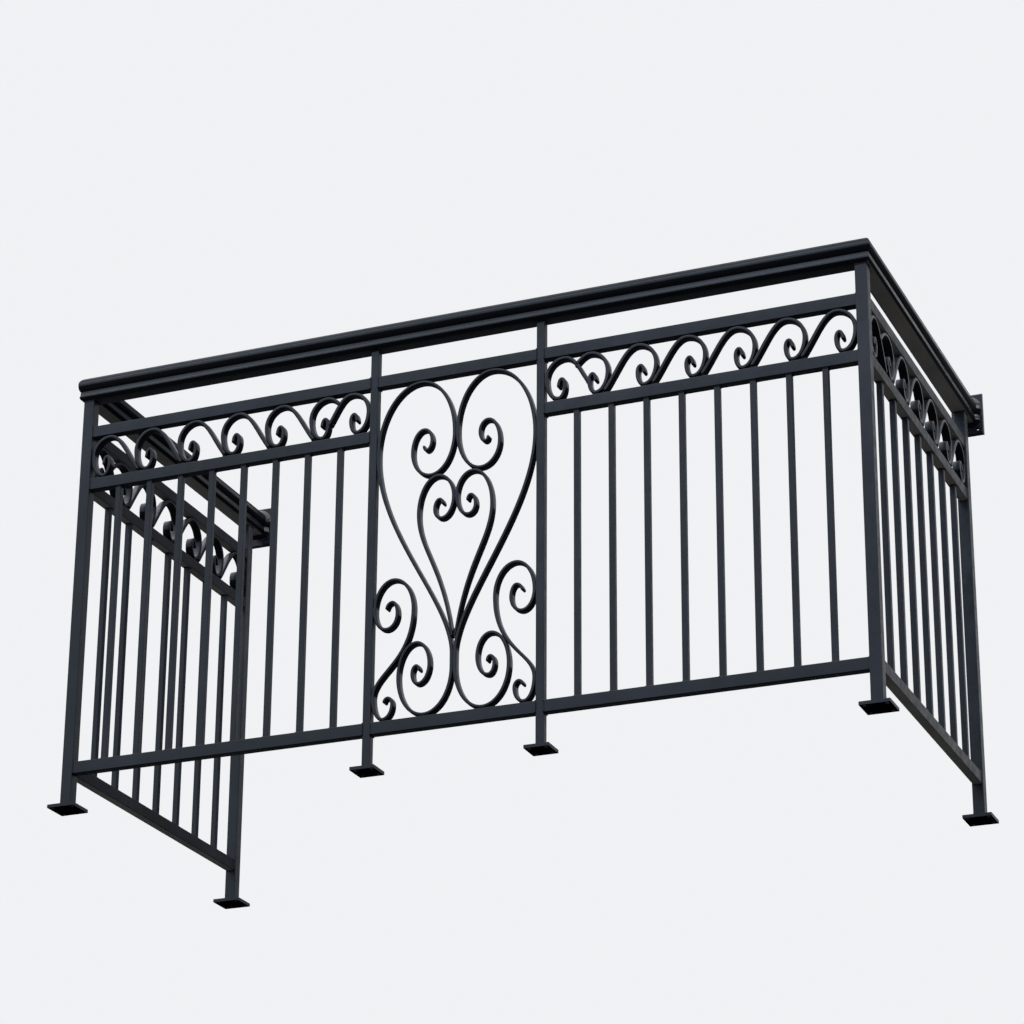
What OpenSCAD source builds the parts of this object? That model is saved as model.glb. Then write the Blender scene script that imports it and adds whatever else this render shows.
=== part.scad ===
// U-shaped iron balcony railing: a front with a heart panel between two picket bays, and two
// returns that run back to the wall. Millimetres, +Z up, front towards -Y, wall towards +Y.
// The origin is on the floor under the middle of the outer box.

/* [Overall] */
// Width over the outer faces of the corner posts
width = 2000; // [1900:10:2100]
// Depth from the front face of the posts to the wall
reach = 941; // [900:1:980]
// Height of the posts' heads above the floor
post_h = 1054; // [1030:1:1080]

/* [Posts] */
// Side of a square corner post or wall-end post
post = 28; // [26:1:32]
// Side of a square middle post
mid_post = 20; // [18:1:24]
// Clear width of the heart panel between the middle posts
panel_w = 404; // [396:1:412]
// Distance from the back of a wall-end post to the wall
end_gap = 65; // [50:1:80]
// Side of a base plate under a corner or wall-end post
foot = 70; // [64:1:80]
// Side of a base plate under a middle post
mid_foot = 60; // [56:1:70]
// Thickness of a base plate
foot_t = 8; // [6:1:12]
// Diameter of an anchor hole in a base plate
foot_hole = 11; // [9:0.5:13]
// Distance of an anchor hole from the edge of its base plate
foot_edge = 10; // [9:0.5:12]

/* [Rails] */
// Depth of the flat rails, front to back
rail_d = 22; // [20:1:26]
// Height of a rail
rail_h = 30; // [26:1:32]
// Underside of the bottom rail above the floor
bottom_z = 86; // [70:1:100]
// Open gap between the upper rail and the handrail
top_gap = 70; // [62:1:78]
// Height of the open frieze between the lower rail and the upper rail
frieze_h = 110; // [106:1:114]

/* [Pickets] */
// Side of a square picket
picket = 14; // [12:1:16]
// Pickets in each front bay
bay_pickets = 8; // [6:1:10]
// Pickets in each return
return_pickets = 7; // [6:1:9]

/* [Scrolls] */
// Depth of the flat scroll bars, front to back
bar_d = 20; // [16:1:22]
// Thickness of the heart and side scroll bars
bar_t = 8; // [7:0.5:9]
// Thickness of the frieze scroll bars
wave_t = 9.5; // [9:0.5:10]
// Spacing of the frieze scrolls in a front bay
bay_pitch = 118; // [117:0.5:119]
// Spacing of the frieze scrolls in a return
return_pitch = 125; // [124:0.5:126]
// Slack left where two welded bars meet
weld_gap = 0.15; // [0.1:0.05:0.2]

/* [Handrail] */
// How far the rounded cap stands out beyond the posts
nose = 12.5; // [10:0.5:16]
// Height of the whole handrail
cap_h = 65; // [60:1:68]
// Height of the rounded top of the cap
dome_h = 21; // [18:1:24]
// How far the small bead under the cap stands out
bead = 9; // [8:0.5:12]
// Height of the small bead
bead_h = 11; // [9:1:12]
// How far the neck between cap and bead stands out
neck = 7; // [4:0.5:7.5]
// Height of the upper end of the neck, where the cap begins
neck_z = 24; // [20:1:28]

/* [Wall plates] */
// Width of a wall plate
plate_w = 80; // [72:1:90]
// Height of a wall plate
plate_h = 110; // [108:1:118]
// How far a wall plate stands above the handrail
plate_rise = 14; // [12:1:18]
// Thickness of a wall plate
plate_t = 10; // [8:1:14]
// Width of the bevel round the face of a wall plate
plate_bevel = 2.5; // [1:0.5:4]
// Distance between the two fixing holes of a wall plate
plate_holes = 50; // [40:1:52]
// Height of the fixing holes above the lower edge of a wall plate
plate_hole_z = 14; // [12:0.5:15]
// Diameter of a fixing hole in a wall plate
plate_hole = 7; // [6:0.5:9]

/* [Hidden] */

// Scrolls in a frieze, and the straight pieces in each quarter of a curl
waves = 7;
wave_n = 6;
heart_n = 8;
// How thin the bars are drawn out at the middle of a curl and over how many pieces, and the share of
// its thickness left at the lower end of an inner scroll
tip = 0.55;
tip_run = 16;
inner_end = 0.6;

iron = [0.16, 0.17, 0.20];
iron_dark = [0.13, 0.14, 0.17];

// Outer box, front to back, and the shift that centres it on the origin
front_over = (foot - post) / 2;
y0 = -(reach - front_over) / 2;
x_out = width / 2;
x_post = x_out - post / 2;
x_mid = panel_w / 2;
mid_y = post / 2;
end_y = reach - end_gap - post;
bottom_top = bottom_z + rail_h;
upper_z = post_h - top_gap - rail_h;
lower_top = upper_z - frieze_h;
lower_z = lower_top - rail_h;
bay_a = x_mid + mid_post;
bay_b = x_out - post;
ret_a = post;
ret_b = end_y;
half = post / 2 + nose;
plate_low = post_h + cap_h + plate_rise - plate_h;

// Quarter ellipse from a to b; upright = true when the curve leaves a upright and reaches b level
function quarter(a, b, upright, n) =
    [for (i = [1:n]) let (s = 90 * i / n)
        upright ? [b[0] + (a[0] - b[0]) * cos(s), a[1] + (b[1] - a[1]) * sin(s)]
                : [a[0] + (b[0] - a[0]) * sin(s), b[1] + (a[1] - b[1]) * cos(s)]];

// Chain of quarter ellipses through the widest, highest and lowest places of a curl
function curl(p, n) =
    concat([p[0]], [for (k = [0:len(p) - 2]) each quarter(p[k], p[k + 1], k % 2 == 0, n)]);

// Free-running stem between two points, leaving each along its own handle
function stem(a, ha, b, hb, n) =
    [for (i = [1:n]) let (t = i / n, u = 1 - t)
        u * u * u * a + 3 * u * u * t * (a + ha) + 3 * u * t * t * (b + hb) + t * t * t * b];

function unit(v) = v / norm(v);
function turned(v) = [-v[1], v[0]];

// Direction across the bar at point i of the centreline p
function across(p, i) =
    turned(unit(p[min(i + 1, len(p) - 1)] - p[max(i - 1, 0)]));

// Half thickness at point i: the bar is drawn out thinner over its first points, and over its last
// ones down to the share e of its thickness
function half_t(p, t, i, e) =
    t / 2 * min(1, tip + (1 - tip) * i / tip_run, e + (1 - e) * (len(p) - 1 - i) / 6);

// One edge of the bar between points i and j, s = 1 left or -1 right of the way along it
function edge(p, t, s, i, j, e, grow) =
    [for (k = [i:j]) p[k] + s * across(p, k) * (half_t(p, t, k, e) + grow)];

// The whole outline of a bar of thickness t along the centreline p, kept inside lo..hi
function outline(p, t, lo, hi, e = 1, grow = 0) =
    let (n = len(p) - 1, r = edge(p, t, -1, 0, n, e, grow))
    [for (q = concat(edge(p, t, 1, 0, n, e, grow), [for (k = [n:-1:0]) r[k]]))
        [max(lo[0], min(hi[0], q[0])), max(lo[1], min(hi[1], q[1]))]];

// Stands a flat shape up in the X-Z plane as a bar bar_d deep, centred on Y = 0
module upright_bar() {
    translate([0, bar_d / 2, 0]) rotate([90, 0, 0]) linear_extrude(bar_d) children();
}

module at_front() { translate([0, y0, 0]) children(); }

// Places a part drawn along +X from the origin onto the return of one side: s = 1 right, -1 left
module at_return(s) {
    translate([s * x_post, y0, 0]) rotate([0, 0, 90]) children();
}

module mirror_if(m) { if (m) mirror([1, 0, 0]) children(); else children(); }

// Posts and base plates
module post_bar(x, y, a, z0, z1) { translate([x - a / 2, y - a / 2, z0]) cube([a, a, z1 - z0]); }

module corner_posts() color(iron) at_front()
    for (s = [-1, 1]) post_bar(s * x_post, mid_y, post, foot_t, post_h);

module middle_posts() color(iron) at_front()
    for (s = [-1, 1]) post_bar(s * (x_mid + mid_post / 2), mid_y, mid_post, foot_t, post_h);

module wall_end_posts() color(iron) at_front()
    for (s = [-1, 1]) post_bar(s * x_post, end_y + post / 2, post, foot_t, post_h);

module base_plate(x, y, a) {
    difference() {
        translate([x - a / 2, y - a / 2, 0]) cube([a, a, foot_t]);
        for (i = [-1, 1], j = [-1, 1])
            translate([x + i * (a / 2 - foot_edge), y + j * (a / 2 - foot_edge), -1])
                cylinder(d = foot_hole, h = foot_t + 2, $fn = 32);
    }
}

module front_base_plates() color(iron) at_front()
    for (s = [-1, 1]) {
        base_plate(s * x_post, mid_y, foot);
        base_plate(s * (x_mid + mid_post / 2), mid_y, mid_foot);
    }

module rear_base_plates() color(iron) at_front()
    for (s = [-1, 1]) base_plate(s * x_post, end_y + post / 2, foot);

// Handrail
// Half profile from the underside's middle round to the crown; X is across, Y is up
function cap_half() = concat(
    [[0, 0], [post / 2, 0]],
    [for (s = [15:15:90]) [post / 2 + bead * sin(s) * (0.6 + 0.4 * sin(s)), (bead_h - 2) * (1 - cos(s))]],
    [[post / 2 + bead, bead_h], [post / 2 + bead - 1.2, bead_h + 1.2]],
    [for (s = [0:22.5:90]) [post / 2 + neck + (nose - neck) * sin(s),
                            neck_z + (cap_h - dome_h - neck_z) * (1 - cos(s))]],
    [for (s = [9:9:90]) [half * cos(s), cap_h - dome_h + dome_h * sin(s)]]);

function cap_full() = let (h = cap_half(), n = len(h))
    concat([for (i = [1:n - 1]) h[i]], [for (i = [n - 2:-1:1]) [-h[i][0], h[i][1]]]);

// Handrail length along +X from x = a to x = b, its middle on Y = 0
module cap(a, b) {
    translate([a, 0, post_h]) rotate([90, 0, 90]) linear_extrude(b - a) polygon(cap_full());
}

// Wedge that keeps what is on one side of the two 45 degree mitres
module front_wedge() {
    translate([0, 0, post_h - 5]) linear_extrude(cap_h + 10)
        polygon([[-x_post - 60, mid_y - 60], [x_post + 60, mid_y - 60],
                 [x_post - 60, mid_y + 60], [-x_post + 60, mid_y + 60]]);
}
module side_wedge(s) {
    translate([0, 0, post_h - 5]) linear_extrude(cap_h + 10)
        polygon([[s * (x_post + 60), mid_y - 60], [s * (x_post + 60), reach + 60],
                 [s * (x_post - 60), reach + 60], [s * (x_post - 60), mid_y + 60]]);
}

module handrail_front() color(iron_dark) at_front() intersection() {
    translate([0, mid_y, 0]) cap(-x_out - 40, x_out + 40);
    front_wedge();
}
module handrail_side(s) at_front() intersection() {
    translate([s * x_post, 0, 0]) rotate([0, 0, 90]) cap(-40, reach - plate_t);
    side_wedge(s);
}
module handrail_left() color(iron_dark) handrail_side(-1);
module handrail_right() color(iron_dark) handrail_side(1);

// Wall plates, bevelled round their faces; Y = 0 is the wall
module bevelled(a) {
    polygon([[-a / 2, 0], [-a / 2, plate_bevel - plate_t], [plate_bevel - a / 2, -plate_t],
             [a / 2 - plate_bevel, -plate_t], [a / 2, plate_bevel - plate_t], [a / 2, 0]]);
}
module wall_plate(s) at_front() translate([s * x_post, reach, plate_low]) difference() {
    intersection() {
        linear_extrude(plate_h) bevelled(plate_w);
        translate([0, 0, plate_h / 2]) rotate([0, 90, 0])
            linear_extrude(plate_w, center = true) bevelled(plate_h);
    }
    for (i = [-1, 1])
        translate([i * plate_holes / 2, 1, plate_hole_z])
            rotate([90, 0, 0]) cylinder(d = plate_hole, h = plate_t + 2, $fn = 32);
}
module wall_plate_left() color(iron_dark) wall_plate(-1);
module wall_plate_right() color(iron_dark) wall_plate(1);

// Rails
module rail(a, b, z) { translate([a, -rail_d / 2, z]) cube([b - a, rail_d, rail_h]); }
module front_rail(a, b, z) at_front() translate([0, mid_y, 0]) rail(a, b, z);
module return_rail(s, z) at_return(s) rail(ret_a, ret_b, z);

module upper_rail_left_bay() color(iron) front_rail(-bay_b, -bay_a, upper_z);
module upper_rail_heart_panel() color(iron) front_rail(-x_mid, x_mid, upper_z);
module upper_rail_right_bay() color(iron) front_rail(bay_a, bay_b, upper_z);
module upper_rail_left_return() color(iron) return_rail(-1, upper_z);
module upper_rail_right_return() color(iron) return_rail(1, upper_z);
module lower_rail_left_bay() color(iron) front_rail(-bay_b, -bay_a, lower_z);
module lower_rail_right_bay() color(iron) front_rail(bay_a, bay_b, lower_z);
module lower_rail_left_return() color(iron) return_rail(-1, lower_z);
module lower_rail_right_return() color(iron) return_rail(1, lower_z);
module bottom_rail_left_bay() color(iron) front_rail(-bay_b, -bay_a, bottom_z);
module bottom_rail_heart_panel() color(iron) front_rail(-x_mid, x_mid, bottom_z);
module bottom_rail_right_bay() color(iron) front_rail(bay_a, bay_b, bottom_z);
module bottom_rail_left_return() color(iron) return_rail(-1, bottom_z);
module bottom_rail_right_return() color(iron) return_rail(1, bottom_z);

// Pickets, with equal clear gaps between two posts
module picket_row(a, b, n) {
    gap = (b - a - n * picket) / (n + 1);
    for (i = [0:n - 1])
        translate([a + gap + i * (picket + gap), -picket / 2, bottom_top])
            cube([picket, picket, lower_z - bottom_top]);
}
module front_pickets(s) at_front() translate([0, mid_y, 0])
    mirror_if(s < 0) picket_row(bay_a, bay_b, bay_pickets);
module pickets_left_bay() color(iron) front_pickets(-1);
module pickets_right_bay() color(iron) front_pickets(1);
module pickets_left_return() color(iron) at_return(-1) picket_row(ret_a, ret_b, return_pickets);
module pickets_right_return() color(iron) at_return(1) picket_row(ret_a, ret_b, return_pickets);

// Friezes: one running scroll, measured from its right side and from the lower rail: the hook at the middle
// of the curl, the curl itself, the crest and the tail falling to its end
function wave(end, handle, crest) = let (q = wave_t / 2, h = frieze_h) concat(
    curl([[-34, 32], [-42, 53], [-50, 36], [-34, q], [-q, 56], [-48, h - q]], wave_n),
    stem([-48, h - q], [-crest, 0], end, handle, 10));
function wave_box(p, e = 1, grow = 0) = outline(p, wave_t, [-180, 0], [0, frieze_h], e, grow);

// Room taken by a curl: all that lies left of its right side, or right of its hook's left side
module behind_curl(p) {
    polygon(concat([[-70, -1]], edge(p, wave_t, -1, 3 * wave_n, 5 * wave_n, 1, weld_gap),
                   [[-70, frieze_h + 1]]));
}
module inside_hook(p) {
    polygon(concat([[0, frieze_h / 2]], edge(p, wave_t, -1, wave_n, 3 * wave_n, 1, weld_gap)));
}

// Frieze between a and b: scrolls of one pitch counted from b, and at a one turned the other way
// round, whose tail ends at fall; the scroll next to it is cut off where it meets that tail, at meet
module frieze(a, b, pitch, meet, fall) {
    room = b - a - (waves - 2) * pitch;
    whole = wave([-pitch - 10, 8], [32, 46], 30);
    short = wave([meet[0] - room, meet[1]], [9, 10], 12 + (room - 160) / 2);
    back = wave([-fall[0], fall[1]], [20, 32], 27);
    translate([0, 0, lower_top]) {
        for (i = [0:waves - 3])
            translate([b - weld_gap - i * pitch, 0, 0]) upright_bar() difference() {
                polygon(wave_box(whole));
                translate([-pitch, 0]) behind_curl(whole);
            }
        translate([b - weld_gap - (waves - 2) * pitch, 0, 0]) upright_bar() difference() {
            polygon(wave_box(short));
            translate([-room + 2 * weld_gap, 0]) mirror([1, 0]) polygon(wave_box(back, 1, weld_gap));
        }
        translate([a + weld_gap, 0, 0]) mirror([1, 0, 0]) upright_bar() difference() {
            polygon(wave_box(back));
            translate([-room + 2 * weld_gap, 0]) mirror([1, 0]) inside_hook(short);
        }
    }
}
module front_frieze(s) at_front() translate([0, mid_y, 0]) mirror_if(s < 0)
    frieze(bay_a, bay_b, bay_pitch, [79, 84], [106, 38]);
module return_frieze(s) at_return(s) frieze(ret_a, ret_b, return_pitch, [88, 70], [126, 8]);
module frieze_left_bay() color(iron_dark) front_frieze(-1);
module frieze_right_bay() color(iron_dark) front_frieze(1);
module frieze_left_return() color(iron_dark) return_frieze(-1);
module frieze_right_return() color(iron_dark) return_frieze(1);

// Heart panel, drawn for its right half from the panel's middle and the bottom rail's top
panel_h = upper_z - bottom_top;
ku = (x_mid - bar_t) / 194;
kv = (panel_h - bar_t) / 830;
function place(p) = [for (q = p) [bar_t / 2 + (q[0] - 4) * ku, bar_t / 2 + (q[1] - 4) * kv]];

function heart_line() = place(concat(
    curl([[81, 668], [74, 657], [61, 682], [81, 710], [110, 655], [63, 592], [4, 693], [90, 834],
          [198, 660]], heart_n),
    stem([198, 660], [0, -198], [4, 140], [0, 130], 16),
    curl([[4, 110], [72, 4], [136, 100], [92, 179], [59, 125], [86, 79], [101, 105], [91, 123],
          [84, 111]], heart_n)));
function inner_line() = place(concat(
    curl([[31, 514], [39, 527], [51, 503], [33, 479], [4, 530], [44, 587], [92, 498]], heart_n),
    stem([92, 498], [0, -89], [4, 185], [26, 180], 14)));
function side_line() = place(concat(
    curl([[168, 271], [154, 287], [141, 258], [168, 222], [198, 270], [152, 342], [101, 264]],
        heart_n),
    stem([101, 264], [0, -130], [198, 58], [0, 60], 14),
    [for (i = [1:4 * heart_n]) curl([[198, 58], [173, 4], [150, 38], [161, 54], [170, 44]],
        heart_n)[i]]));

module heart_bar(p, s, e = 1) {
    at_front() translate([0, mid_y, bottom_top]) mirror_if(s < 0)
        upright_bar() polygon(outline(p, bar_t, [weld_gap, 0], [x_mid, panel_h], e));
}
module heart_scroll_left() color(iron_dark) heart_bar(heart_line(), -1);
module heart_scroll_right() color(iron_dark) heart_bar(heart_line(), 1);
module inner_scroll_left() color(iron_dark) heart_bar(inner_line(), -1, inner_end);
module inner_scroll_right() color(iron_dark) heart_bar(inner_line(), 1, inner_end);
module side_scroll_left() color(iron_dark) heart_bar(side_line(), -1);
module side_scroll_right() color(iron_dark) heart_bar(side_line(), 1);

corner_posts();
middle_posts();
wall_end_posts();
front_base_plates();
rear_base_plates();
handrail_front();
handrail_left();
handrail_right();
wall_plate_left();
wall_plate_right();
upper_rail_left_bay();
upper_rail_heart_panel();
upper_rail_right_bay();
upper_rail_left_return();
upper_rail_right_return();
lower_rail_left_bay();
lower_rail_right_bay();
lower_rail_left_return();
lower_rail_right_return();
bottom_rail_left_bay();
bottom_rail_heart_panel();
bottom_rail_right_bay();
bottom_rail_left_return();
bottom_rail_right_return();
pickets_left_bay();
pickets_right_bay();
pickets_left_return();
pickets_right_return();
frieze_left_bay();
frieze_right_bay();
frieze_left_return();
frieze_right_return();
heart_scroll_left();
heart_scroll_right();
inner_scroll_left();
inner_scroll_right();
side_scroll_left();
side_scroll_right();
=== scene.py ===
import math
import random
from itertools import count

import bmesh
import bpy
from mathutils import Matrix, Vector


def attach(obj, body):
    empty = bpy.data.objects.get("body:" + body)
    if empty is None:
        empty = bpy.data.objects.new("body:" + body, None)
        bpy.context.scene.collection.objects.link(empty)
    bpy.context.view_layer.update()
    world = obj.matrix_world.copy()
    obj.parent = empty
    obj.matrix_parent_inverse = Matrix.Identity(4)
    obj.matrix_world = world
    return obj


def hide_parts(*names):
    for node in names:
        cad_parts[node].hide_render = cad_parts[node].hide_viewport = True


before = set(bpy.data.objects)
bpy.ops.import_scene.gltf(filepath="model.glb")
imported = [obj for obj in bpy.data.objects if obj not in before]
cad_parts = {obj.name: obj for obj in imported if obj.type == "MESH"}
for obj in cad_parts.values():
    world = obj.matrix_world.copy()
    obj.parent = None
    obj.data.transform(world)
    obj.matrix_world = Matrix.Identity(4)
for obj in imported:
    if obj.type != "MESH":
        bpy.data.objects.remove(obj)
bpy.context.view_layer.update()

# Iron balcony railing. Its sizes are in millimetres and are named as in the part's source, and MM turns
# them into metres. The camera, the lamps and the floor are in metres.
MM = 0.001
WIDTH, REACH = 2000.0, 941.0            # over the corner posts, and from their front faces to the wall
POST, MID_POST, PICKET = 28.0, 20.0, 14.0
POST_H, PANEL_W, END_GAP = 1054.0, 404.0, 65.0
FOOT, FOOT_T, PLATE_T = 70.0, 8.0, 10.0
RAIL_D, RAIL_H = 22.0, 30.0
BOTTOM_Z, TOP_GAP, FRIEZE_H = 86.0, 70.0, 110.0
BAY_PICKETS, RETURN_PICKETS = 8, 7
BAR_D, BAR_T, WAVE_T = 20.0, 8.0, 9.5
WAVES, BAY_PITCH, RETURN_PITCH = 7, 118.0, 125.0
CAP_H, DOME_H, NOSE = 65.0, 21.0, 12.5
BEAD, BEAD_H, NECK, NECK_Z = 9.0, 11.0, 7.0, 24.0

# Places worked out from these sizes
X_POST = (WIDTH - POST) / 2             # middle plane of a return
X_MID_POST = (PANEL_W + MID_POST) / 2
Y_FACE = -(REACH - (FOOT - POST) / 2) / 2   # front faces of the posts
Y_FRONT = Y_FACE + POST / 2             # middle plane of the front
Y_WALL = Y_FACE + REACH
BAY_A, BAY_B = PANEL_W / 2 + MID_POST, WIDTH / 2 - POST
RET_A, RET_B = POST, REACH - END_GAP - POST
UPPER_Z = POST_H - TOP_GAP - RAIL_H     # undersides of the upper and the lower rail
LOWER_Z = UPPER_Z - FRIEZE_H - RAIL_H
LOWER_TOP, BOTTOM_TOP = LOWER_Z + RAIL_H, BOTTOM_Z + RAIL_H
SIDES = ((-1, "left"), (1, "right"))


# Materials
class Nodes:
    """Short way of building the nodes of a material or the world: sockets are linked, values are set."""

    def __init__(self, owner, output="ShaderNodeOutputMaterial"):
        owner.use_nodes = True
        self.tree = owner.node_tree
        self.tree.nodes.clear()
        self.out = self.add(output)

    def add(self, kind, inputs=None, **props):
        node = self.tree.nodes.new(kind)
        for key, value in props.items():
            setattr(node, key, value)
        for key, value in (inputs or {}).items():
            if isinstance(value, bpy.types.NodeSocket):
                self.tree.links.new(value, node.inputs[key])
            else:
                node.inputs[key].default_value = value
        return node

    def noise(self, vec, scale, detail, rough=0.55, distort=0.0):
        return self.add("ShaderNodeTexNoise", {"Vector": vec, "Scale": scale, "Detail": detail,
                                               "Roughness": rough, "Distortion": distort}).outputs["Fac"]

    def ramp(self, fac, lo, hi, to_lo=0.0, to_hi=1.0):
        return self.add("ShaderNodeMapRange", {"Value": fac, "From Min": lo, "From Max": hi,
                                               "To Min": to_lo, "To Max": to_hi},
                        interpolation_type="SMOOTHSTEP").outputs["Result"]

    def math(self, op, a, b):
        return self.add("ShaderNodeMath", {0: a, 1: b}, operation=op).outputs[0]

    def times(self, a, b):
        return self.math("MULTIPLY", a, b)

    def mix(self, fac, a, b):
        return self.add("ShaderNodeMix", {"Factor": fac, 6: a, 7: b}, data_type="RGBA").outputs[2]

    def mix_shaders(self, fac, a, b):
        return self.add("ShaderNodeMixShader", {0: fac, 1: a, 2: b}).outputs[0]

    def finish(self, shader):
        self.tree.links.new(shader, self.out.inputs[0])


# Noise of the paint: scale, detail, roughness and distortion
BROAD, MEDIUM, FINE = (5.0, 4.0), (38.0, 5.0, 0.6), (260.0, 3.0, 0.6)
RUBS, STAINS = (9.0, 8.0, 0.72, 0.6), (55.0, 6.0, 0.65)

# Where on the railing a ramp runs, by the Z or X of the world normal
LIT_AND_WEATHERED = (-0.13, -0.005)             # Z: faces that the weather reaches; faces turned further down get painted shade
SETTLED = (0.35, 0.95)                  # Z: faces that dust settles on
CHALKED = (0.02, 0.35)                  # Z: faces that turn chalky
UNDERSIDE = (-0.80, -0.96)              # Z: soffits
TO_RIGHT = (0.3, 0.8)                   # X: faces turned to +X

DUST = [0.13, 0.125, 0.118, 1.0]
# Warm grey for the undersides of the returns: painted reflected light
PAINTED_BOUNCE_GREY = [0.080, 0.074, 0.069, 1.0]
RUBBED = [0.055, 0.054, 0.055, 1.0]
STAIN = [0.040, 0.022, 0.015, 1.0]
# Tint of the reflections on faces turned down: dim, painted shade
SHADED_SHEEN = [0.10, 0.11, 0.13, 1.0]
# Bluish tint of the reflections: painted sky colour; white leaves them untinted
BLUE_SHEEN, WHITE_SHEEN = [0.62, 0.72, 0.88, 1.0], [1.0, 1.0, 1.0, 1.0]
IOR, SPECULAR = 1.5, 0.5
PEEL_FINE, PEEL_MEDIUM = (0.12, 0.0004), (0.14, 0.0010)     # bump: strength, and depth in metres


def shade_of(colour, share, lift=0.0):
    return [c * share + lift for c in colour] + [1.0]


def coats(m, colour, broad, medium, lit_and_weathered):
    """Uneven coats of one colour, with painted shade that makes them near black on faces turned down."""
    light = shade_of(colour, 1.4, 0.001)
    col = m.mix(m.ramp(broad, 0.35, 0.68), shade_of(colour, 0.75), light)
    col = m.mix(m.ramp(medium, 0.42, 0.75, 0.0, 0.45), col, light)
    return m.mix(lit_and_weathered, shade_of(colour, 0.22), col)


def grime_on(m, up, broad, medium, lit_and_weathered, dust):
    """How much dust lies on a face: patches on level ones, and a thin film on all that is weathered."""
    patch = m.ramp(m.math("ADD", m.times(broad, 0.6), m.times(medium, 0.4)), 0.36, 0.66)
    settled = m.times(m.times(patch, m.ramp(up, *SETTLED)), dust)
    film = m.times(m.times(m.ramp(broad, 0.5, 0.8), 0.16 * dust), lit_and_weathered)
    return m.math("MAXIMUM", settled, film)


def orange_peel(m, medium, fine, peel):
    bump = None
    for height, (strength, depth) in ((fine, PEEL_FINE), (medium, PEEL_MEDIUM)):
        under = {"Normal": bump} if bump else {}
        bump = m.add("ShaderNodeBump", {"Strength": strength * peel, "Distance": depth, "Height": height,
                                        **under}).outputs[0]
    return bump


def paint(name, colour, rough=0.36, dust=0.35, scuff=0.5, brown=0.0, peel=1.0, chalk=0.0, soffit=0.0,
          right_shade=0.0, sheen=BLUE_SHEEN):
    """Dark enamel on steel, dull and black on what faces down, where the near-black colour and the dim tint
    of its reflections are painted shade; elsewhere the reflections get a bluish tint, a painted sky colour.
    dust, scuff, brown, peel and chalk say how much there is of settled dust, rubbed marks, brown stains,
    orange peel and chalkiness, and soffit how much warm grey there is on undersides, painted reflected
    light. The share lee of its sheen is lost on what faces +X, painted shade for the dark door and wall
    that these faces mirror."""
    mat = bpy.data.materials.new(name)
    m = Nodes(mat)
    coord = m.add("ShaderNodeTexCoord").outputs["Object"]
    normal = m.add("ShaderNodeNewGeometry").outputs["Normal"]
    facing = m.add("ShaderNodeSeparateXYZ", {0: normal}).outputs
    up = facing["Z"]
    broad, medium, fine = [m.noise(coord, *grain) for grain in (BROAD, MEDIUM, FINE)]
    # 1 where the weather reaches, 0 on faces turned down, which get painted shade
    lit_and_weathered = m.ramp(up, *LIT_AND_WEATHERED)

    grime = grime_on(m, up, broad, medium, lit_and_weathered, dust)
    col = m.mix(grime, coats(m, colour, broad, medium, lit_and_weathered), DUST)
    # Warm grey on undersides, patchy: painted reflected light
    if soffit:
        under = m.times(m.ramp(up, *UNDERSIDE), m.ramp(broad, 0.25, 0.7, 0.65, 1.0))
        col = m.mix(m.times(under, soffit), col, PAINTED_BOUNCE_GREY)
    rub = m.times(m.ramp(m.noise(coord, *RUBS), 0.66, 0.74, 0.0, scuff), lit_and_weathered)
    col = m.mix(rub, col, RUBBED)
    if brown:
        col = m.mix(m.ramp(m.noise(coord, *STAINS), 0.52, 0.68, 0.0, brown), col, STAIN)

    r = m.ramp(medium, 0.3, 0.75, rough - 0.06, rough + 0.10)
    r = m.math("ADD", r, m.times(grime, 0.5))
    r = m.math("ADD", r, m.times(rub, 0.25))
    r = m.math("MAXIMUM", r, m.math("SUBTRACT", 1.0, lit_and_weathered))
    if chalk:
        r = m.math("MAXIMUM", r, m.ramp(up, *CHALKED, 0.0, chalk))

    # Less reflection on faces turned to +X: painted shade for the dark door and wall they mirror
    gloss = m.ramp(facing["X"], *TO_RIGHT, SPECULAR, SPECULAR * (1 - right_shade)) if right_shade else SPECULAR
    # The tint dims the reflections on faces turned down, painted shade, and turns the others bluish, a
    # painted sky colour
    bsdf = m.add("ShaderNodeBsdfPrincipled", {
        "Base Color": col, "Roughness": r, "Normal": orange_peel(m, medium, fine, peel), "IOR": IOR,
        "Specular IOR Level": gloss, "Specular Tint": m.mix(lit_and_weathered, SHADED_SHEEN, sheen)}, distribution="GGX")
    m.finish(bsdf.outputs[0])
    return mat


FRAME_COAT = {"colour": (0.0065, 0.0082, 0.0130)}
SCROLL_COAT = {"colour": (0.0060, 0.0076, 0.0120), "rough": 0.34, "scuff": 0.35}
HANDRAIL_COAT = {"colour": (0.0058, 0.0072, 0.0115), "rough": 0.28, "dust": 0.22, "scuff": 0.15,
                 "peel": 0.3, "chalk": 0.85}
SOFFIT = 0.85                           # painted reflected light, a warm grey, under the two returns

# The copies of a paint below differ only in painted shade on faces turned to +X and in painted reflected
# light under the returns
FRAME_PAINT = paint("frame_enamel", right_shade=0.80, **FRAME_COAT)
FRAME_PAINT_RIGHT = paint("frame_enamel_side", soffit=SOFFIT, right_shade=0.88, **FRAME_COAT)
FRAME_PAINT_LEFT = paint("frame_enamel_left", soffit=SOFFIT, right_shade=0.95, **FRAME_COAT)
SCROLL_PAINT = paint("scroll_enamel", right_shade=0.60, **SCROLL_COAT)
SCROLL_PAINT_LEFT = paint("scroll_enamel_left", right_shade=0.95, **SCROLL_COAT)
HANDRAIL_PAINTS = {
    "handrail_front": paint("handrail_enamel", **HANDRAIL_COAT),
    "handrail_right": paint("handrail_enamel_side", soffit=SOFFIT, right_shade=0.50, **HANDRAIL_COAT),
    "handrail_left": paint("handrail_enamel_left", soffit=SOFFIT, right_shade=0.90, **HANDRAIL_COAT)}
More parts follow.
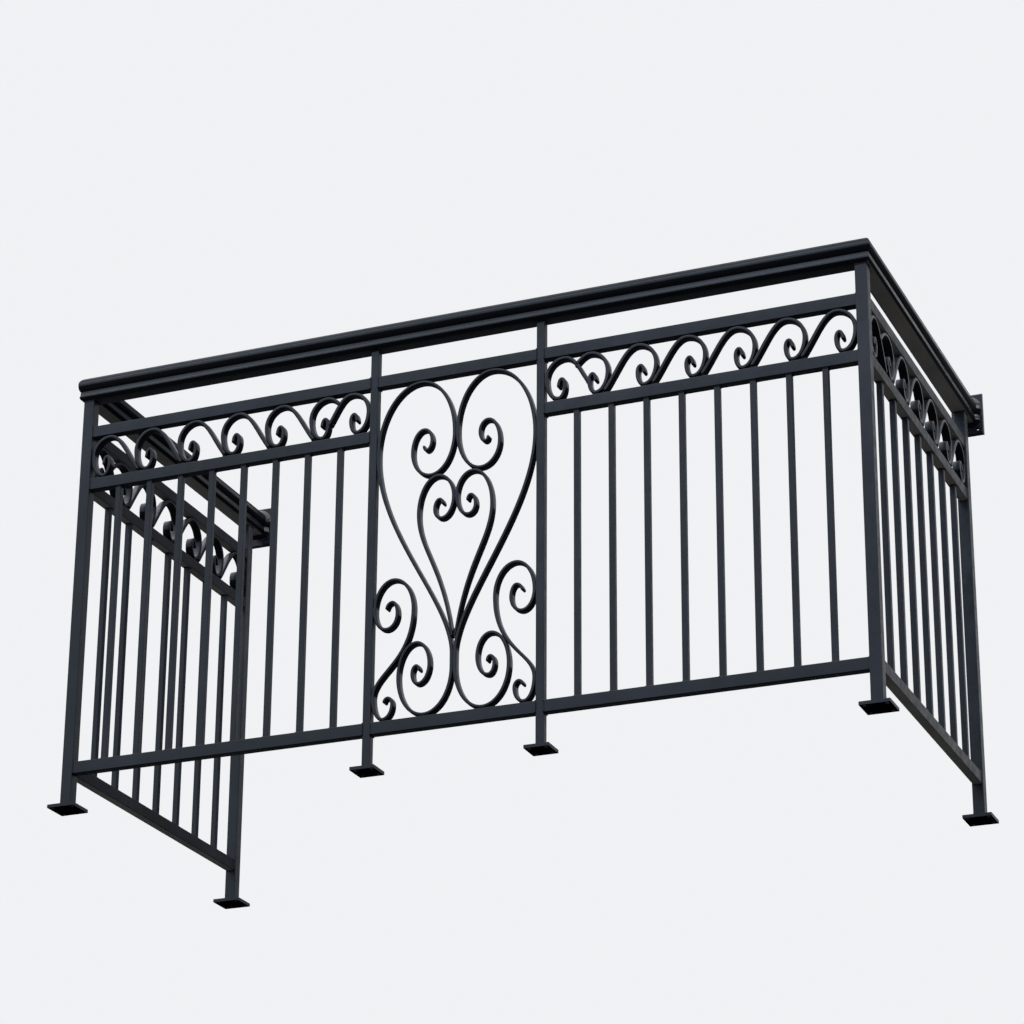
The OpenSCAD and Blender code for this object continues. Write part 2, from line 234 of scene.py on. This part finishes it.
PLATE_PAINT = paint("plate_enamel", (0.0075, 0.0095, 0.0160), rough=0.22, scuff=0.25, brown=0.35,
                    peel=1.3)
FILLET_PAINT = paint("fillet_enamel", (0.0080, 0.0100, 0.0170), rough=0.12, dust=0.05, scuff=0.1,
                     brown=0.1, peel=0.8, sheen=WHITE_SHEEN)
WELD_PAINT = paint("weld_enamel", (0.0085, 0.0100, 0.0150), rough=0.26, dust=0.3, scuff=0.2,
                   brown=0.2, peel=1.8, right_shade=0.80)

# Nodes of the CAD model that stay
SMOOTH_ANGLE, SHARP_ANGLE = math.radians(32), math.radians(35)
FLAT_ANGLE = math.radians(0.5)
JOIN = 2e-5                             # vertices closer than this are one, in metres
BAR_EDGE, PICKET_EDGE, FOOT_EDGE, PLATE_EDGE, HANDRAIL_EDGE = 1.8, 1.3, 1.0, 0.8, 0.7


def smooth_group():
    """Geometry nodes that shade smooth across edges flatter than SMOOTH_ANGLE."""
    group = bpy.data.node_groups.new("shade_by_angle", "GeometryNodeTree")
    group.interface.new_socket("Geometry", in_out="INPUT", socket_type="NodeSocketGeometry")
    group.interface.new_socket("Geometry", in_out="OUTPUT", socket_type="NodeSocketGeometry")
    new, link = group.nodes.new, group.links.new
    entry, leave = new("NodeGroupInput"), new("NodeGroupOutput")
    faces, edges = new("GeometryNodeSetShadeSmooth"), new("GeometryNodeSetShadeSmooth")
    faces.domain, edges.domain = "FACE", "EDGE"
    angle, less = new("GeometryNodeInputMeshEdgeAngle"), new("FunctionNodeCompare")
    less.operation = "LESS_THAN"
    less.inputs[1].default_value = SMOOTH_ANGLE
    link(entry.outputs[0], faces.inputs["Geometry"])
    link(faces.outputs[0], edges.inputs["Geometry"])
    link(angle.outputs["Unsigned Angle"], less.inputs[0])
    link(less.outputs[0], edges.inputs["Shade Smooth"])
    link(edges.outputs[0], leave.inputs[0])
    return group


SMOOTH = smooth_group()


def shade(obj):
    obj.modifiers.new("shade", "NODES").node_group = SMOOTH


def dress(obj, mat, edge):
    """Rounded edges and paint on a CAD node."""
    obj.modifiers.new("join", "WELD").merge_threshold = JOIN
    flat = obj.modifiers.new("flat", "DECIMATE")
    flat.decimate_type = "DISSOLVE"
    flat.angle_limit = FLAT_ANGLE
    bevel = obj.modifiers.new("edge", "BEVEL")
    bevel.width = edge * MM
    bevel.segments = 2
    bevel.limit_method = "ANGLE"
    bevel.angle_limit = SHARP_ANGLE
    shade(obj)
    if obj.name not in HANDRAIL_PAINTS:     # the moulding of the handrail is smooth without it
        obj.modifiers.new("flat_faces", "WEIGHTED_NORMAL").keep_sharp = True
    for slot in obj.material_slots:
        slot.material = mat
    if not obj.material_slots:
        obj.data.materials.append(mat)


def look(name):
    """Paint of a CAD node, and the width of its rounded edges."""
    if name in HANDRAIL_PAINTS:
        return HANDRAIL_PAINTS[name], HANDRAIL_EDGE
    if "rail" in name and name.endswith("return"):
        return FRAME_PAINT_LEFT if "left" in name else FRAME_PAINT_RIGHT, BAR_EDGE
    if name.startswith("wall_plate"):
        return PLATE_PAINT, PLATE_EDGE
    if name.endswith("base_plates"):
        return FRAME_PAINT, FOOT_EDGE
    if name.startswith("pickets"):
        return FRAME_PAINT_LEFT if name == "pickets_left_return" else FRAME_PAINT, PICKET_EDGE
    return FRAME_PAINT, BAR_EDGE


for name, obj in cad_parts.items():
    if "scroll" not in name and "frieze" not in name:
        dress(obj, *look(name))


# New pieces
def piece(name, bm, mat, replaced=()):
    me = bpy.data.meshes.new(name)
    bmesh.ops.recalc_face_normals(bm, faces=bm.faces)
    bm.to_mesh(me)
    bm.free()
    me.materials.append(mat)
    for face in me.polygons:
        face.use_smooth = True
    ob = bpy.data.objects.new(name, me)
    bpy.context.scene.collection.objects.link(ob)
    shade(ob)
    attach(ob, "root")
    if replaced:
        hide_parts(*replaced)


def bridge(bm, ring, after):
    """Faces between two rings of vertices."""
    n = len(ring)
    for k in range(n):
        bm.faces.new((ring[k], ring[(k + 1) % n], after[(k + 1) % n], after[k]))


def spaced(corners, step):
    """Points about a step apart along the closed path through the corners."""
    points = []
    for a, b in zip(corners, corners[1:] + corners[:1]):
        n = max(1, round(math.dist(a, b) / step))
        points += [tuple(p + (q - p) * k / n for p, q in zip(a, b)) for k in range(n)]
    return points


def front_place(s):
    """Turns a place in the plane of the front into metres: u across, v up, w front to back."""
    return lambda u, v, w: (s * u * MM, (Y_FRONT + w) * MM, v * MM)


def return_place(s):
    """The same for a return: u towards the wall, v up, w across."""
    return lambda u, v, w: ((s * X_POST + w) * MM, (Y_FACE + u) * MM, v * MM)


# Curves in a panel's own plane, as in the part's source but with finer steps
def quarter(a, b, upright, n):
    """Quarter ellipse from a to b; upright when the curve leaves a upright and reaches b level."""
    out = []
    for i in range(1, n + 1):
        s = math.pi / 2 * i / n
        if upright:
            out.append((b[0] + (a[0] - b[0]) * math.cos(s), a[1] + (b[1] - a[1]) * math.sin(s)))
        else:
            out.append((a[0] + (b[0] - a[0]) * math.sin(s), b[1] + (a[1] - b[1]) * math.cos(s)))
    return out


def curl(p, n):
    """Chain of quarter ellipses through the widest, highest and lowest places of a curl."""
    out = [p[0]]
    for k in range(len(p) - 1):
        out += quarter(p[k], p[k + 1], k % 2 == 0, n)
    return out


def stem(a, ha, b, hb, n):
    """Free-running stem between two points, leaving each along its own handle."""
    out = []
    for i in range(1, n + 1):
        t = i / n
        u = 1 - t
        out.append(tuple(u ** 3 * a[k] + 3 * u * u * t * (a[k] + ha[k]) + 3 * u * t * t * (b[k] + hb[k])
                         + t ** 3 * b[k] for k in (0, 1)))
    return out


def moved(p, du, dv=0.0, flip=False):
    return [((-u if flip else u) + du, v + dv) for u, v in p]


def crossing(p, q):
    """First place from the end of p where it meets q: (index in p, point)."""
    for i in range(len(p) - 2, -1, -1):
        ax, ay = p[i]
        bx, by = p[i + 1]
        for j in range(len(q) - 1):
            cx, cy = q[j]
            dx, dy = q[j + 1]
            det = (bx - ax) * (dy - cy) - (by - ay) * (dx - cx)
            if abs(det) < 1e-12:        # parallel
                continue
            s = ((cx - ax) * (dy - cy) - (cy - ay) * (dx - cx)) / det
            t = ((cx - ax) * (by - ay) - (cy - ay) * (bx - ax)) / det
            if 0 <= s <= 1 and 0 <= t <= 1:
                return i, (ax + s * (bx - ax), ay + s * (by - ay))
    return None


def cut(p, q):
    """p up to where its middle line meets the middle line of q, or all of it."""
    hit = crossing(p, q)
    return p[:hit[0] + 1] + [hit[1]] if hit else p


# Pieces in each quarter of a curl and in a stem
WAVE_STEPS, HEART_STEPS = 16, 18
PART_WAVE_STEPS, PART_HEART_STEPS = 6, 8    # the same in the part's source
WAVE_STEM, HEART_STEM = 26, 40

# Flat bars. Towards the middle of a curl they are drawn out thinner, down to the share DRAWN of their
# thickness, over TIP_RUN of the part's pieces
DRAWN, TIP_RUN = 0.84, 16
WAVE_RUN = TIP_RUN * WAVE_STEPS // PART_WAVE_STEPS
HEART_RUN = TIP_RUN * HEART_STEPS // PART_HEART_STEPS
INNER_END, INNER_RUN = 0.6, 17          # the same for the lower end of an inner scroll
TRIM = 2                                # points that the rounded end of a curl takes the place of
CORNER, CORNER_STEPS = 0.22, 3          # corner radius as a share of the thickness
UNEVEN, UNEVEN_RUN = 0.012, 9.0         # how much the thickness varies, and over what length
END_ANGLES, END_NARROW = (28, 52, 74), 0.07     # rings of a half-round end, and how much it narrows


def section(t, d, r):
    """Rounded bar section: (across, deep) pairs, t thick and d deep, corner radius r."""
    out = []
    for cx, cy, a0 in ((1, 1, 0), (-1, 1, 90), (-1, -1, 180), (1, -1, 270)):
        for k in range(CORNER_STEPS + 1):
            a = math.radians(a0 + 90 * k / CORNER_STEPS)
            out.append((cx * (t / 2 - r) + r * math.cos(a), cy * (d / 2 - r) + r * math.sin(a)))
    return out


def bar(bm, path, thick, place, run, end=1.0, end_run=1, seed=0):
    """Flat bar along a plane curve with half-round ends. Its first points are drawn out thinner, down to
    the share DRAWN, and its last ones down to the share end."""
    outline = section(thick, BAR_D, thick * CORNER)
    phase = random.Random(seed).uniform(0, 6)

    def ring(p, along, full, share=1.0, ahead=0.0, wide=1.0):
        u, v = p[0] + along[0] * ahead, p[1] + along[1] * ahead
        return [bm.verts.new(place(u - along[1] * s * full * share, v + along[0] * s * full * share,
                                   w * wide)) for s, w in outline]

    last = len(path) - 1
    rings = []
    ends = []
    way_along = 0.0
    for i, p in enumerate(path):
        a, b = path[max(i - 1, 0)], path[min(i + 1, last)]
        length = math.dist(a, b) or 1.0
        along = ((b[0] - a[0]) / length, (b[1] - a[1]) / length)
        if i:
            way_along += math.dist(p, path[i - 1])
        full = min(1.0, DRAWN + (1 - DRAWN) * i / run, end + (1 - end) * (last - i) / end_run)
        full *= 1 + UNEVEN * math.sin(way_along / UNEVEN_RUN + phase)
        rings.append(ring(p, along, full))
        if i in (0, last):
            ends.append((rings[-1], p, along, full, 1 if i else -1))
    for r0, r1 in zip(rings, rings[1:]):
        bridge(bm, r0, r1)

    for before, p, along, full, way in ends:
        for angle in END_ANGLES:
            share = math.cos(math.radians(angle))
            ahead = math.sin(math.radians(angle)) * thick / 2 * full * way
            after = ring(p, along, full, share, ahead, 1 - END_NARROW * (1 - share))
            bridge(bm, before, after)
            before = after
        bm.faces.new(before)


def lump(bm, place, u, v, along, half, deep, turn=0.0, seed=0):
    """Weld laid in the crevice beside a contact, a little uneven: half-length along, half-height and
    half-depth."""
    local = random.Random(seed * 7 + 3)
    c, s = math.cos(turn), math.sin(turn)
    for vert in bmesh.ops.create_icosphere(bm, subdivisions=2, radius=1.0)["verts"]:
        x, y, z = vert.co
        k = 1 + 0.10 * math.sin(7 * z + seed) + local.uniform(-0.05, 0.05)
        a, b = x * along * k, y * half * k
        vert.co = Vector(place(u + a * c - b * s, v + a * s + b * c, z * deep))


# Friezes. A scroll is measured from its right side and from the lower rail, which it touches at TOUCH;
# its crest touches the upper rail at CREST
TOUCH, CREST = 34, 48
BAY_MEET, BAY_FALL = (79, 84), (106, 38)
RETURN_MEET, RETURN_FALL = (88, 70), (126, 8)
# Welds: half-length, half-height and half-depth
TAIL_WELD, DOWN_WELD = (6.5, 6.5, 9.2), (10.0, 4.2, 9.0)
TOUCH_WELD, CREST_WELD = (8.5, 2.6, 9.0), (9.0, 2.6, 9.0)


def wave(end, handle, crest):
    """The hook at the middle of the curl, the curl itself, the crest and the tail falling to its end."""
    q = WAVE_T / 2
    top = (-CREST, FRIEZE_H - q)
    return (curl([(-34, 32), (-42, 53), (-50, 36), (-TOUCH, q), (-q, 56), top], WAVE_STEPS)
            + stem(top, (-crest, 0), end, handle, WAVE_STEM))


def frieze_bars(a, b, pitch, meet, fall):
    """Scrolls of one pitch counted from b. At a there is one turned the other way round, whose tail ends
    at fall, and the scroll next to it ends at meet, where it meets that tail."""
    alike = WAVES - 2
    room = b - a - alike * pitch
    whole = wave((-pitch - 10, 8), (32, 46), 30)
    whole = cut(whole, moved(whole[:5 * WAVE_STEPS], -pitch))
    short = moved(wave((meet[0] - room, meet[1]), (9, 10), 12 + (room - 160) / 2), b - alike * pitch)
    back = moved(wave((-fall[0], fall[1]), (20, 32), 27), a, flip=True)
    bars = [moved(whole, b - i * pitch) for i in range(alike)]
    return bars + [cut(short, back), cut(back, short[:3 * WAVE_STEPS])]


def frieze(a, b, pitch, meet, fall, place, name, weld_bm):
    bm = bmesh.new()
    alike = WAVES - 2
    for k, p in enumerate(frieze_bars(a, b, pitch, meet, fall)):
        p = moved(p, 0, LOWER_TOP)
        bar(bm, p[TRIM:], WAVE_T, place, WAVE_RUN, seed=k)
        end_u, end_v = p[-1]
        base, way = (a, 1) if k == WAVES - 1 else (b - k * pitch, -1)
        lump(weld_bm, place, end_u, end_v, *TAIL_WELD, seed=k + len(name))
        lump(weld_bm, place, base + way * TOUCH, LOWER_TOP, *TOUCH_WELD, seed=k + 11)
        if k < alike:            # where a tail comes down on the rail
            lump(weld_bm, place, end_u - 3, LOWER_TOP + 2.5, *DOWN_WELD, seed=k + 17)
        lump(weld_bm, place, base + way * CREST, LOWER_TOP + FRIEZE_H, *CREST_WELD, seed=k + 23)
    coat = SCROLL_PAINT_LEFT if name == "frieze_left_return" else SCROLL_PAINT
    piece(name + "_bars", bm, coat, (name,))


welds = bmesh.new()
for s, side in SIDES:
    frieze(BAY_A, BAY_B, BAY_PITCH, BAY_MEET, BAY_FALL, front_place(s), f"frieze_{side}_bay", welds)
    frieze(RET_A, RET_B, RETURN_PITCH, RETURN_MEET, RETURN_FALL, return_place(s), f"frieze_{side}_return",
           welds)

# Heart panel, right half, measured from its middle and from the bottom rail's top
N = HEART_STEPS
HEART = (curl([(81, 668), (74, 657), (61, 682), (81, 710), (110, 655), (63, 592), (4, 693), (90, 834),
               (198, 660)], N) + stem((198, 660), (0, -198), (4, 140), (0, 130), HEART_STEM)
         + curl([(4, 110), (72, 4), (136, 100), (92, 179), (59, 125), (86, 79), (101, 105), (91, 123),
                 (84, 111)], N))
INNER = (curl([(31, 514), (39, 527), (51, 503), (33, 479), (4, 530), (44, 587), (92, 498)], N)
         + stem((92, 498), (0, -89), (4, 185), (26, 180), HEART_STEM))
SIDE = (curl([(168, 271), (154, 287), (141, 258), (168, 222), (198, 270), (152, 342), (101, 264)], N)
        + stem((101, 264), (0, -130), (198, 58), (0, 60), HEART_STEM)
        + curl([(198, 58), (173, 4), (150, 38), (161, 54), (170, 44)], N)[1:])
HALF_PANEL, PANEL_TOP = PANEL_W / 2, UPPER_Z - BOTTOM_TOP
# Contacts with posts and rails: place, half-length of the weld and how it is turned in degrees
CONTACTS = ((HALF_PANEL, 660, 9, 90), (90, PANEL_TOP, 9, 0), (72, 0, 9, 0), (HALF_PANEL, 270, 8, 90),
            (HALF_PANEL, 58, 8, 90), (173, 0, 8, 0))
# Contacts between the two halves: height and half-length of the weld
MIDDLE_CONTACTS = ((693, 9), (530, 9), (196, 9), (100, 8))
CONTACT_HALF, MIDDLE_HALF, CONTACT_DEEP = 2.4, 2.2, 9.0


def heart_bar(kind, path, s, side):
    bm = bmesh.new()
    path = moved(path, 0, BOTTOM_TOP)[TRIM:]
    end, end_run = INNER_END, INNER_RUN
    if kind != "inner":          # both ends of these bars are curls
        end, end_run = DRAWN, HEART_RUN
        path = path[:-TRIM]
    bar(bm, path, BAR_T, front_place(s), HEART_RUN, end, end_run, seed=len(kind))
    piece(f"{kind}_scroll_{side}_bar", bm, SCROLL_PAINT, (f"{kind}_scroll_{side}",))


for s, side in SIDES:
    for kind, path in (("heart", HEART), ("inner", INNER), ("side", SIDE)):
        heart_bar(kind, path, s, side)
    for k, (u, v, along, turn) in enumerate(CONTACTS):
        lump(welds, front_place(s), u, v + BOTTOM_TOP, along, CONTACT_HALF, CONTACT_DEEP,
             math.radians(turn), seed=k + 31)
for k, (v, along) in enumerate(MIDDLE_CONTACTS):
    lump(welds, front_place(1), 0, v + BOTTOM_TOP, along, MIDDLE_HALF, CONTACT_DEEP, math.pi / 2,
         seed=k + 41)
piece("scroll_welds", welds, WELD_PAINT)

# Weld beads round square bars: radii, distance between ripples, and sides of a bead
PICKET_WELD, RAIL_WELD, FOOT_WELD, HEAD_WELD = 1.9, 1.7, 3.2, 1.8
RIPPLE, BEAD_SIDES = 2.4, 7
X_AXIS, Z_AXIS = Vector((1, 0, 0)), Vector((0, 0, 1))


def bead(bm, corners, radius, seed):
    """Rippled bead of weld along a closed path of frame points in mm."""
    local = random.Random(seed)
    points = [Vector(p) for p in spaced(corners, RIPPLE)]
    turns = [2 * math.pi * k / BEAD_SIDES for k in range(BEAD_SIDES)]
    rings = []
    for i, p in enumerate(points):
        t = (points[(i + 1) % len(points)] - points[i - 1]).normalized()
        x = (Z_AXIS if abs(t.z) < 0.9 else X_AXIS).cross(t).normalized()
        y = t.cross(x)
        r = radius * (1 + 0.12 * (i % 2) + local.uniform(-0.09, 0.09))
        rings.append([bm.verts.new((p + r * (x * math.cos(q) + y * math.sin(q))) * MM) for q in turns])
    for r0, r1 in zip(rings, rings[1:] + rings[:1]):
        bridge(bm, r0, r1)


def square(x, y, a, z):
    """Corners round a square upright bar of side a."""
    h = a / 2
    return [(x - h, y - h, z), (x + h, y - h, z), (x + h, y + h, z), (x - h, y + h, z)]


def rail_end(x, y, dx, dy, z):
    """Corners round the end of a rail, which reaches dx or dy to each side."""
    return [(x - dx, y - dy, z), (x + dx, y + dy, z), (x + dx, y + dy, z + RAIL_H),
            (x - dx, y - dy, z + RAIL_H)]


def picket_places(a, b, n):
    """Middles of n pickets with equal clear gaps between a and b."""
    gap = (b - a - n * PICKET) / (n + 1)
    return [a + gap + i * (PICKET + gap) + PICKET / 2 for i in range(n)]


def picket_welds(bm, s, seeds):
    spots = [(s * u, Y_FRONT) for u in picket_places(BAY_A, BAY_B, BAY_PICKETS)]
    spots += [(s * X_POST, Y_FACE + u) for u in picket_places(RET_A, RET_B, RETURN_PICKETS)]
    for x, y in spots:
        for z in (BOTTOM_TOP, LOWER_Z):
            bead(bm, square(x, y, PICKET, z), PICKET_WELD, next(seeds))


def rail_welds(bm, s, seeds):
    half = RAIL_D / 2
    for z in (BOTTOM_Z, LOWER_Z, UPPER_Z):
        ends = (BAY_A, BAY_B) if z == LOWER_Z else (BAY_A, BAY_B, HALF_PANEL)
        for u in ends:
            bead(bm, rail_end(s * u, Y_FRONT, 0, half, z), RAIL_WELD, next(seeds))
        for u in (RET_A, RET_B):
            bead(bm, rail_end(s * X_POST, Y_FACE + u, half, 0, z), RAIL_WELD, next(seeds))


def post_welds(bm, s, seeds):
    for x, y, a in ((X_POST, Y_FRONT, POST), (X_MID_POST, Y_FRONT, MID_POST),
                    (X_POST, Y_FACE + RET_B + POST / 2, POST)):
        seed = next(seeds)
        bead(bm, square(s * x, y, a, FOOT_T), FOOT_WELD, seed)
        bead(bm, square(s * x, y, a, POST_H), HEAD_WELD, seed + 500)


beads = bmesh.new()
seeds = count(101)
for s in (-1, 1):
    picket_welds(beads, s, seeds)
    rail_welds(beads, s, seeds)
    post_welds(beads, s, seeds)
piece("bar_welds", beads, WELD_PAINT)

# Fillets of weld between handrail and wall plates, round the moulding
FILLET_LEG, FILLET_STEP = 10.0, 2.5
ALONG_RAIL, ALONG_PLATE = 0.85, 1.1     # the two legs of the fillet, as shares of FILLET_LEG
PROFILE_STEPS, TURN_SPAN = 5, 4         # faces across the fillet, and points over which it turns
SUNK, ROOT = 0.4, (-2.0, -1.0)          # the fillet's edges and its root, sunk into the metal


def moulding():
    """Half of the handrail's section, from the underside's middle round to the crown: (across, up)."""
    q = POST / 2
    p = [(0, 0), (q, 0)]
    for angle in range(15, 91, 15):
        k = math.sin(math.radians(angle))
        p.append((q + BEAD * k * (0.6 + 0.4 * k), (BEAD_H - 2) * (1 - math.cos(math.radians(angle)))))
    p += [(q + BEAD, BEAD_H), (q + BEAD - 1.2, BEAD_H + 1.2)]
    for k in range(5):
        a = math.radians(22.5 * k)
        p.append((q + NECK + (NOSE - NECK) * math.sin(a),
                  NECK_Z + (CAP_H - DOME_H - NECK_Z) * (1 - math.cos(a))))
    for angle in range(9, 91, 9):
        a = math.radians(angle)
        p.append(((q + NOSE) * math.cos(a), CAP_H - DOME_H + DOME_H * math.sin(a)))
    return p


def fillet_profile(leg):
    """Across the fillet: (out from the moulding, forward from the plate) pairs."""
    out = []
    for k in range(PROFILE_STEPS + 1):
        t = k / PROFILE_STEPS
        bulge = 0.03 * leg * math.sin(math.pi * t) - SUNK
        out.append((leg * ALONG_PLATE * t + bulge, leg * ALONG_RAIL * (1 - t) + bulge))
    return out + [ROOT]


def fillet(bm, s, seed):
    """Broad fillet of weld between the handrail's end and its wall plate, all round the moulding."""
    local = random.Random(seed)
    half = moulding()
    points = spaced(half[1:] + [(-x, z) for x, z in reversed(half[1:-1])], FILLET_STEP)
    n = len(points)
    rings = []
    for i in range(n):
        a, b = points[i - TURN_SPAN], points[(i + TURN_SPAN) % n]
        length = math.dist(a, b)
        out_x, out_z = (b[1] - a[1]) / length, (a[0] - b[0]) / length
        x, z = (sum(points[(i + k) % n][c] for k in (-1, 0, 1)) / 3 for c in (0, 1))
        leg = FILLET_LEG * (1 + 0.012 * (i % 2) + 0.03 * math.sin(0.4 * i) + local.uniform(-0.012, 0.012))
        rings.append([bm.verts.new(((s * X_POST + x + out_x * out) * MM, (Y_WALL - PLATE_T - ahead) * MM,
                                    (POST_H + z + out_z * out) * MM)) for out, ahead in fillet_profile(leg)])
    for r0, r1 in zip(rings, rings[1:] + rings[:1]):
        bridge(bm, r0, r1)


plate_beads = bmesh.new()
for s in (-1, 1):
    fillet(plate_beads, s, 70 + s)
piece("plate_welds", plate_beads, FILLET_PAINT)

# Stage, in metres
FLOOR_RADIUS, FLOOR_FADE = 18.0, (2.8, 9.0)
FLOOR_DARK, FLOOR_LIGHT = [0.43, 0.43, 0.42, 1], [0.46, 0.46, 0.45, 1]
SKY_LIGHT, SKY_STRENGTH = [0.93, 0.96, 1.0, 1], 0.60
SKY_LOW, SKY_HIGH = [0.44, 0.445, 0.455, 1], [0.87, 0.885, 0.905, 1]
SKY_RISE = (-0.16, 0.05)                # Z of the direction, from the low to the high shade


def floor():
    """Pale floor that fades out with distance and is clear from below, where the photo's camera is."""
    bm = bmesh.new()
    bmesh.ops.create_circle(bm, cap_ends=True, segments=96, radius=FLOOR_RADIUS)
    me = bpy.data.meshes.new("floor")
    bm.to_mesh(me)
    bm.free()
    ob = bpy.data.objects.new("floor", me)
    bpy.context.scene.collection.objects.link(ob)
    mat = bpy.data.materials.new("floor_grey")
    m = Nodes(mat)
    coord = m.add("ShaderNodeTexCoord").outputs["Object"]
    far = m.add("ShaderNodeVectorMath", {0: coord}, operation="LENGTH").outputs["Value"]
    back = m.add("ShaderNodeNewGeometry").outputs["Backfacing"]
    clear = m.math("MAXIMUM", m.ramp(far, *FLOOR_FADE), back)
    col = m.mix(m.ramp(m.noise(coord, 30.0, 3.0), 0.3, 0.7), FLOOR_DARK, FLOOR_LIGHT)
    grey = m.add("ShaderNodeBsdfDiffuse", {"Color": col}).outputs[0]
    m.finish(m.mix_shaders(clear, grey, m.add("ShaderNodeBsdfTransparent").outputs[0]))
    me.materials.append(mat)


def sky():
    """Even light on the railing. The camera, mirrors and glass see a sky that is darker low down."""
    world = bpy.data.worlds.new("studio")
    bpy.context.scene.world = world
    m = Nodes(world, "ShaderNodeOutputWorld")
    way = m.add("ShaderNodeTexCoord").outputs["Generated"]
    rise = m.ramp(m.add("ShaderNodeSeparateXYZ", {0: way}).outputs["Z"], *SKY_RISE)
    light = m.add("ShaderNodeBackground", {0: SKY_LIGHT, 1: SKY_STRENGTH}).outputs[0]
    seen = m.add("ShaderNodeBackground", {0: m.mix(rise, SKY_LOW, SKY_HIGH), 1: 1.0}).outputs[0]
    ray = m.add("ShaderNodeLightPath").outputs
    looks = m.math("MAXIMUM", ray["Is Camera Ray"], ray["Is Glossy Ray"])
    looks = m.math("MAXIMUM", looks, ray["Is Transmission Ray"])
    m.finish(m.mix_shaders(looks, light, seen))


def lamp(name, at, to, size, watts, colour):
    data = bpy.data.lights.new(name, "AREA")
    data.shape = "RECTANGLE"
    data.size, data.size_y = size
    data.energy = watts
    data.color = colour
    ob = bpy.data.objects.new(name, data)
    bpy.context.scene.collection.objects.link(ob)
    ob.location = at
    ob.rotation_mode = "QUATERNION"
    ob.rotation_quaternion = (Vector(to) - Vector(at)).to_track_quat("-Z", "Y")


floor()
sky()
lamp("side_panel", at=(6.0, -2.9, 3.2), to=(0.6, -0.2, 0.9), size=(2.0, 3.0), watts=60,
     colour=(1.0, 0.98, 0.95))
lamp("sky_panel", at=(-0.4, -0.8, 4.8), to=(0, 0, 0.5), size=(9.0, 7.0), watts=270,
     colour=(0.95, 0.97, 1.0))

# Camera, fitted to the photograph's own view: from below and to the right of the railing
CAM_AT = (2.7198, -6.6852, -2.2914)
CAM_RIGHT = Vector((0.92158, 0.38807, 0.00957))
CAM_FORWARD = Vector((-0.36361, 0.85436, 0.37128))
CAM_SHIFT = (0.03, 0.07)
FOCAL_PX, PHOTO_PX = 3205.4, 1024
SENSOR = 36.0


def camera():
    data = bpy.data.cameras.new("camera")
    data.sensor_width = SENSOR
    data.lens = FOCAL_PX / PHOTO_PX * SENSOR
    data.shift_x, data.shift_y = CAM_SHIFT
    ob = bpy.data.objects.new("camera", data)
    bpy.context.scene.collection.objects.link(ob)
    bpy.context.scene.camera = ob
    forward = CAM_FORWARD.normalized()
    right = (CAM_RIGHT - forward * CAM_RIGHT.dot(forward)).normalized()
    turn = Matrix((right, right.cross(forward), -forward)).transposed()
    ob.matrix_world = Matrix.Translation(CAM_AT) @ turn.to_4x4()


camera()
bpy.context.scene.view_settings.view_transform = "Standard"
